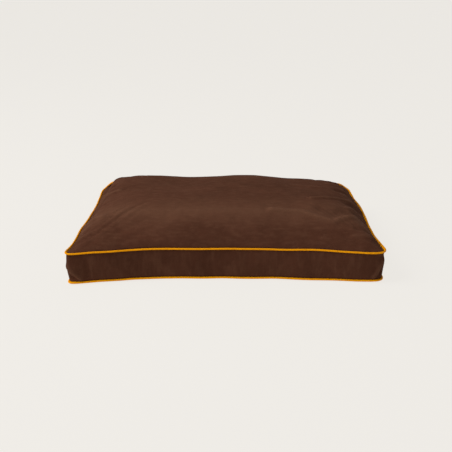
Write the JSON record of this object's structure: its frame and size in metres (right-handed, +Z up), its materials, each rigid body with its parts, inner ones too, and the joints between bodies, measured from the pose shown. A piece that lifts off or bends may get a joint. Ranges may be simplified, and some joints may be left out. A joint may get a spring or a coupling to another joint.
{
  "type": "pet bed cushion",
  "caption": "Rectangular boxed pet cushion with piped seams, a crowned fibre-filled top and a zipped removable cover.",
  "frame": {"origin": "centre of the flat underside, on the floor", "axes": "+Z up; +X along the long side; -Y towards the front long side; +Y towards the zipped rear long side"},
  "size_m": [0.9998, 0.6998, 0.203],
  "materials": {
    "cover_suede": "dark brown brushed micro-suede",
    "piping_cloth": "amber cotton bias tape",
    "cotton_cord": "undyed twisted cotton",
    "zip_tape": "dark woven polyester tape",
    "zip_coil": "dark nylon",
    "zip_metal": "nickel-plated die casting",
    "label_satin": "plain woven satin, unprinted",
    "insert_liner": "undyed polycotton",
    "fibre": "hollow polyester fibre"
  },
  "bodies": {
    "cushion": {"top_panel": "cover_suede", "bottom_panel": "cover_suede", "boxing_band": "cover_suede", "rear_boxing_upper": "cover_suede", "rear_boxing_lower": "cover_suede", "top_piping_cover": "piping_cloth", "bottom_piping_cover": "piping_cloth", "top_piping_cord": "cotton_cord", "bottom_piping_cord": "cotton_cord", "zip_tape_upper": "zip_tape", "zip_tape_lower": "zip_tape", "zip_coil_upper": "zip_coil", "zip_coil_lower": "zip_coil", "zip_top_stops": "zip_metal", "zip_bottom_stop": "zip_metal", "care_label": "label_satin", "liner_top": "insert_liner", "liner_bottom": "insert_liner", "fibre_fill": "fibre"},
    "slider": {"zip_slider": "zip_metal"},
    "pull": {"zip_pull": "zip_metal"}
  },
  "joints": [
    {"name": "zip_slide", "type": "slide", "parent": "cushion", "child": "slider", "axis": [1, 0, 0], "range_m": [0, 0.764]},
    {"name": "pull_swing", "type": "hinge", "parent": "slider", "child": "pull", "pos_m": [-0.382, 0.34215, 0.057], "axis": [0, 0, 1], "range_deg": [0, 180]}
  ]
}
